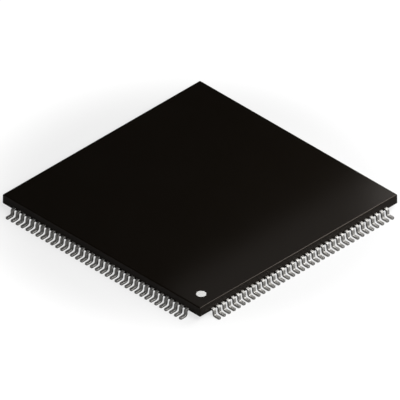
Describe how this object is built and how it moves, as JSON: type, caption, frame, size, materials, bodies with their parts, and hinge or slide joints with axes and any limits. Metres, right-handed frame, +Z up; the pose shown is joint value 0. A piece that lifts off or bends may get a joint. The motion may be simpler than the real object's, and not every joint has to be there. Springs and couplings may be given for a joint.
{
  "type": "quad flat pack chip",
  "caption": "Thin square surface-mount chip package: black moulded body with a white pin 1 dot and a row of fine gull-wing leads on each of its four sides.",
  "frame": {"origin": "centre of the package on the seating plane, the plane of the undersides of the feet", "axes": "+Z up out of the top face, +X and +Y along the rows of leads, with the pin 1 mark by the corner at -X, -Y; pin 1 is the lead nearest that corner on the -Y side, and the pins count counter-clockwise seen from above"},
  "size_m": [0.0216, 0.0216, 0.0012],
  "materials": {
    "mould_compound": "satin moulded epoxy",
    "white_ink": "matt ink",
    "tin_plate": "satin tin plate",
    "copper": "rolled copper alloy strip",
    "polyimide": "amber film",
    "silver_epoxy": "silver-filled epoxy",
    "silicon": "polished silicon",
    "gold": "drawn gold wire"
  },
  "bodies": {
    "root": {"package_body": "mould_compound", "pin_one_mark": "white_ink", "leads_front": "tin_plate", "leads_right": "tin_plate", "leads_back": "tin_plate", "leads_left": "tin_plate", "die_paddle": "copper", "lead_lock_tape": "polyimide", "die_adhesive": "silver_epoxy", "silicon_die": "silicon", "bond_wires_front": "gold", "bond_wires_right": "gold", "bond_wires_back": "gold", "bond_wires_left": "gold"}
  },
  "joints": []
}
